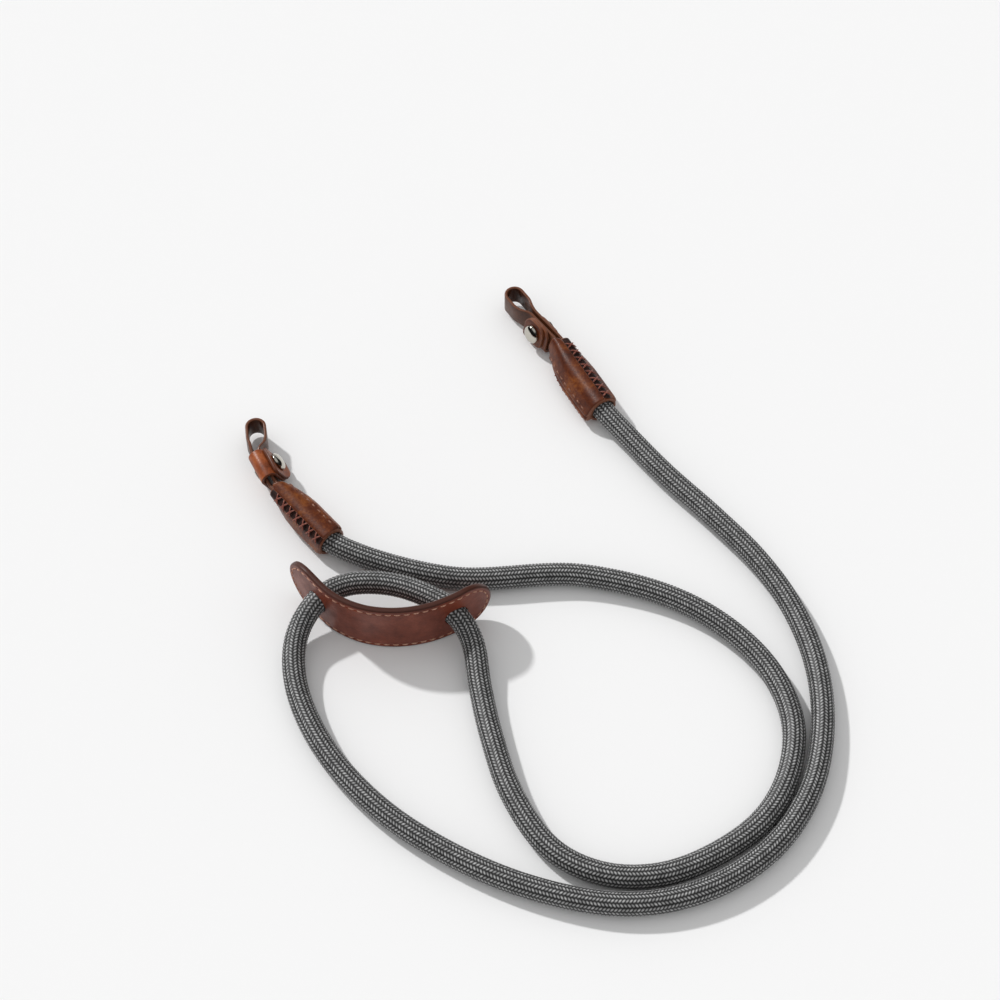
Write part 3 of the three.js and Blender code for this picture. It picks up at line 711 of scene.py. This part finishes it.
def laced_gap_shade(end):
    """A strip of the leather's inside between the two laced edges, painted dark as painted shade in the
    recess.
    """
    form = ENDS[end]
    inset, lift, corner = 0.0006, 0.00012, 0.0008
    half = math.degrees(LACE_WIDE / 2 / SLEEVE_RADIUS)
    return shell(f"sleeve_{end}_gap_shade", end, inset, form["length"] - inset, form["laced"] - half,
                 form["laced"] + half, lift, [(corner, corner)] * 2)


def outwards(points):
    """The direction from a straight end's axis to each point."""
    across = points * [0, 1, 1]
    return across / np.linalg.norm(across, axis=1)[:, None]


def crossed_lacing(end):
    """Two threads cross over the gap, again and again, from one edge to the other."""
    form = ENDS[end]
    count = int((form["length"] - 0.003) / LACE_PITCH)
    first = LACE_FROM + np.arange(count) * LACE_PITCH
    swing = LACE_WIDE / 2 / SLEEVE_RADIUS + LACE_HOLD
    edges = [math.radians(form["laced"]) + side * swing for side in (-1, 1)]
    near = [sleeve_point(first, angle, end, PANEL_LIFT) for angle in edges]
    far = [sleeve_point(first + LACE_PITCH * LACE_CROSS, angle, end, PANEL_LIFT) for angle in edges]
    starts, stops = np.concatenate(near), np.concatenate(far[::-1])
    return laid_threads(f"sleeve_{end}_lacing", starts, stops, outwards(starts + stops), end, LACE_THREAD,
                        0.0005)


def straight_stitches(end):
    """A row of stitches along the panel's sewn edge."""
    form = ENDS[end]
    rows = np.arange(0.003, form["length"] * 0.85, SEWN_PITCH)
    at = math.radians(form["sewn"])
    starts = sleeve_point(rows, at, end, PANEL_LIFT)
    stops = sleeve_point(rows + SEWN_LENGTH, at, end, PANEL_LIFT)
    return laid_threads(f"sleeve_{end}_stitches", starts, stops, outwards(starts), end, SEWN_THREAD, 0.0002)


def whip_stitches(end):
    """Stitches that go over the standing edge from one face to the other."""
    form = ENDS[end]
    rows = np.arange(0.002, form["length"] * 0.75, WHIP_PITCH)
    at = math.radians(form["seam_at"])
    share = np.interp(rows / form["length"], EDGE_FORM[:, 0], EDGE_FORM[:, 1])
    out, up = np.array([0, math.cos(at), math.sin(at)]), np.array([0, -math.sin(at), math.cos(at)])
    reach = (SLEEVE_RADIUS + form["seam"]) * share - WHIP_IN
    base = rows[:, None] * [1, 0, 0] + reach[:, None] * out
    face = up * SEAM_HALF * 1.15
    return laid_threads(f"sleeve_{end}_whipping", base + face, base - face + [WHIP_LEAN, 0, 0],
                        np.broadcast_to(out, base.shape), end, WHIP_THREAD, 0.0015)


for end, form in ENDS.items():
    fitted(leather_sleeve(end), pull_up, f"sleeve_{end}")
    fitted(front_panel(end), pull_up)
    # The laced gap: a dark sheet of painted shade between the laced edges.
    fitted(laced_gap_shade(end), inside_painted_shade)
    fitted(crossed_lacing(end), lacing)
    fitted(straight_stitches(end), sunk)
    if form["whipped"]:
        fitted(whip_stitches(end), lacing)

# Folded loops. A 9 mm strip of thin bridle leather, folded in half so that both layers run out of the
# sleeve and open into an eye. Its cut edges are burnished and take the light.

LOOP_WIDTH = 0.009
LOOP_THICK = 0.0012
LAYER_GAP = 0.0014
EYE_RADIUS = 0.0042  # outside
EDGE_ROUND = 0.0004


def ribbon(name, line, across, half_width, half_thick, end, corners=(0, 0)):
    """A strip with round edges carried along a line. Its width lies along across and its thickness square
    to both. Each end is narrowed by quarter circles of its own radius."""
    along = np.gradient(line, axis=0)
    along /= np.linalg.norm(along, axis=1)[:, None]
    through = np.cross(across, along)
    through /= np.linalg.norm(through, axis=1)[:, None]
    turn = np.linspace(0, np.pi / 2, 5)
    quarter = np.stack([half_width - EDGE_ROUND + EDGE_ROUND * np.cos(turn),
                        half_thick - EDGE_ROUND + EDGE_ROUND * np.sin(turn)], -1)
    section = np.concatenate([quarter, (quarter * [-1, 1])[::-1], quarter * [-1, -1],
                              (quarter * [1, -1])[::-1]])
    way = np.concatenate([[0], np.cumsum(np.linalg.norm(np.diff(line, axis=0), axis=1))])
    narrow = np.zeros(len(line))
    for radius, distance in zip(corners, (way, way[-1] - way)):
        left = np.maximum(radius - distance, 0)
        narrow += radius - np.sqrt(np.maximum(radius ** 2 - left ** 2, 0))
    wide = section[None, :, 0] - np.sign(section[None, :, 0]) * narrow[:, None]
    points = line[:, None] + across * wide[..., None] + through[:, None] * section[None, :, 1, None]
    piece = surface(name, laid(points, end), tube_faces(len(line), len(section)))
    inset = np.minimum(half_width - np.abs(section[None, :, 0]) + 0 * narrow[:, None],
                       np.minimum(way, way[-1] - way)[:, None])
    mapped(piece, "edge", inset, np.broadcast_to(way[:, None], inset.shape))
    return closed(piece)


def folded_strip(end):
    """Out along one side of the fold, half round the eye's tip, and back along the other side."""
    keeper_end = ENDS[end]["length"] + LOOP_NECK + KEEPER_LENGTH
    centre = keeper_end + EYE_LENGTH - EYE_RADIUS
    x = np.linspace(ROPE_DEPTH + 3 * GAP, centre, 90)
    shut = LOOP_THICK / 2 + LAYER_GAP / 2
    opened = smoothstep(x, keeper_end, keeper_end + EYE_LENGTH / 2)
    off = shut + (EYE_RADIUS - LOOP_THICK / 2 - shut) * opened
    round_tip = np.linspace(np.pi / 2, -np.pi / 2, 30)[1:-1]
    tip = np.stack([centre + off[-1] * np.cos(round_tip), off[-1] * np.sin(round_tip)], -1)
    plan = np.concatenate([np.stack([x, off], -1), tip, np.stack([x, -off], -1)[::-1]])
    line = np.concatenate([plan, np.zeros((len(plan), 1))], 1)
    return ribbon(f"loop_strap_{end}_leather", line, np.array([0.0, 0.0, 1.0]), LOOP_WIDTH / 2,
                  LOOP_THICK / 2, end)


# Thin bridle leather: dark brown on its faces, with a waxed edge that takes the light.
thin_bridle = leather("thin bridle leather", "#33180c", "#4a2613", "#643c25", "#6a4230", 0.32, 23.0, 0.0004)

for end in ENDS:
    fitted(folded_strip(end), thin_bridle, f"loop_strap_{end}")

# Keepers. A short strip folded round both layers, its two free flaps pressed together by the stud. One flap
# is doubled under the stud's head. The left one lies with its fold up, the right one with its fold down.

KEEPER_WALL = 0.0013
KEEPER_LAP = 0.001  # how far a flap stands past the strip's edge
KEEPER_IN = LOOP_THICK + LAYER_GAP / 2 + GAP
FLAP_ROUND = 0.0045  # radius of a flap's corners
FLAP_PAST = 0.0004  # how far the doubled flap stands past the one under it
FLAP_ABOVE = 0.0016  # where it ends, above the fold


def at_keeper(points, end, distance):
    """Points from the keeper's own frame, where the stud is left and the fold below, on a straight end."""
    return points * ([1, -1, -1] if ENDS[end]["turned_over"] else [1, 1, 1]) + np.array([distance, 0, 0])


def keeper_path(form, far):
    """The middle of the folded strip seen along the loop: down the stud's side, round two quarter bends and
    up the other side. The stud's flap leans out by the square of its height."""
    half = KEEPER_IN + KEEPER_WALL / 2
    low = KEEPER_WALL / 2 - form["reach"]
    bend = form["bend"]
    turn = np.linspace(0, np.pi / 2, 9)
    height = np.linspace(far, low + bend, 24)
    lean = form["flare"] * np.clip(height / far, 0, 1) ** 2
    down = np.stack([half + lean, height], -1)
    first = np.stack([half - bend + bend * np.cos(turn), low + bend - bend * np.sin(turn)], -1)[1:]
    second = np.stack([bend - half - bend * np.sin(turn), low + bend - bend * np.cos(turn)], -1)
    up = np.stack([np.full(24, -half), np.linspace(low + bend, form["back_flap"], 24)], -1)[1:]
    plan = np.concatenate([down, first, second[1:], up])
    return np.concatenate([np.zeros((len(plan), 1)), plan], 1)


# Saddle leather, burnished: an orange-brown that shines on its bends.
saddle = leather("burnished saddle leather", "#5f2a10", "#88431f", "#a86035", "#5c301d", 0.4, 31.0, 0.0004)
keeper_leather = {"left": saddle, "right": pull_up}

for end, form in ENDS.items():
    far = LOOP_WIDTH / 2 + KEEPER_LAP
    start = form["length"] + LOOP_NECK
    middle = start + KEEPER_LENGTH / 2
    lengthwise = np.array([1.0, 0.0, 0.0])
    path = keeper_path(form, far)
    band = ribbon(f"keeper_{end}_band", at_keeper(path, end, middle), lengthwise, KEEPER_LENGTH / 2,
                  KEEPER_WALL / 2, end, (FLAP_ROUND, FLAP_ROUND * 0.6))
    fitted(band, keeper_leather[end], f"keeper_{end}")
    front = form["front_from"]
    height = np.linspace(far + FLAP_PAST, -form["reach"] + FLAP_ABOVE, 34)
    lean = form["flare"] * np.clip(height / far, 0, 1) ** 2
    line = np.stack([0 * height, KEEPER_IN + KEEPER_WALL * 1.5 + lean, height], -1)
    flap = ribbon(f"keeper_{end}_flap", at_keeper(line, end, middle + front / 2), lengthwise,
                  (KEEPER_LENGTH - front) / 2 - 0.0002, KEEPER_WALL / 2, end, (FLAP_ROUND, 0.0015))
    fitted(flap, keeper_leather[end])

# Studs. A collar stud of nickel-plated brass: a domed head with a fine rim, on a shank through the keeper
# and both layers, with a flat back.

STUD_HEAD = 0.0039
STUD_HEIGHT = 0.0023
STUD_RIM = 0.0005
STUD_SHANK = 0.0013
STUD_BACK = 0.0026
STUD_BACK_THICK = 0.0008
STUD_AT = 0.55  # share of the keeper's length


def turned_stud(end):
    """A profile turned round the shank: a quarter ellipse for the dome and a quarter circle at the rim."""
    front = KEEPER_IN + 2 * KEEPER_WALL + GAP
    back = -(KEEPER_IN + KEEPER_WALL + GAP)
    edge = STUD_RIM / 2
    rim = [[STUD_HEAD - edge + edge * math.cos(a), front + edge + edge * math.sin(a)]
           for a in np.linspace(-np.pi / 2, 0, 5)]
    dome = [[STUD_HEAD * 0.985 * math.cos(a), front + STUD_RIM + (STUD_HEIGHT - STUD_RIM) * math.sin(a)]
            for a in np.linspace(0, np.pi / 2, 14)[:-1]]
    profile = np.array([[0, back - STUD_BACK_THICK], [STUD_BACK * 0.8, back - STUD_BACK_THICK],
                        [STUD_BACK, back - STUD_BACK_THICK * 0.6], [STUD_BACK, back], [STUD_SHANK, back],
                        [STUD_SHANK, front], *rim, *dome, [0, front + STUD_HEIGHT]])
    sides = 64
    angle = np.linspace(0, 2 * np.pi, sides, endpoint=False)
    depth = np.broadcast_to(profile[:, 1:], (len(profile), sides))
    points = np.stack([profile[:, :1] * np.cos(angle), depth, profile[:, :1] * np.sin(angle)], -1)
    distance = ENDS[end]["length"] + LOOP_NECK + STUD_AT * KEEPER_LENGTH
    piece = closed(surface(f"stud_{end}_nickel", laid(at_keeper(points, end, distance), end),
                           tube_faces(len(profile), sides, caps=False)))
    piece.data.set_sharp_from_angle(angle=math.radians(45))
    return piece


# Polished nickel plate: mirror-bright and slightly warm, with the faint haze of handling.
nickel, tree, shader = coating("polished nickel plate", "#c2beb4", 0.1, Metallic=1.0)
where = node(tree, "ShaderNodeTexCoord")
haze = node(tree, "ShaderNodeTexNoise", {"Vector": where.outputs["Object"], "Scale": 600.0, "Detail": 3.0})
shine = node(tree, "ShaderNodeMapRange", {0: haze, 1: 0.3, 2: 0.7, 3: 0.06, 4: 0.17})
tree.links.new(shine.outputs[0], shader.inputs["Roughness"])

for end in ENDS:
    fitted(turned_stud(end), nickel, f"stud_{end}")
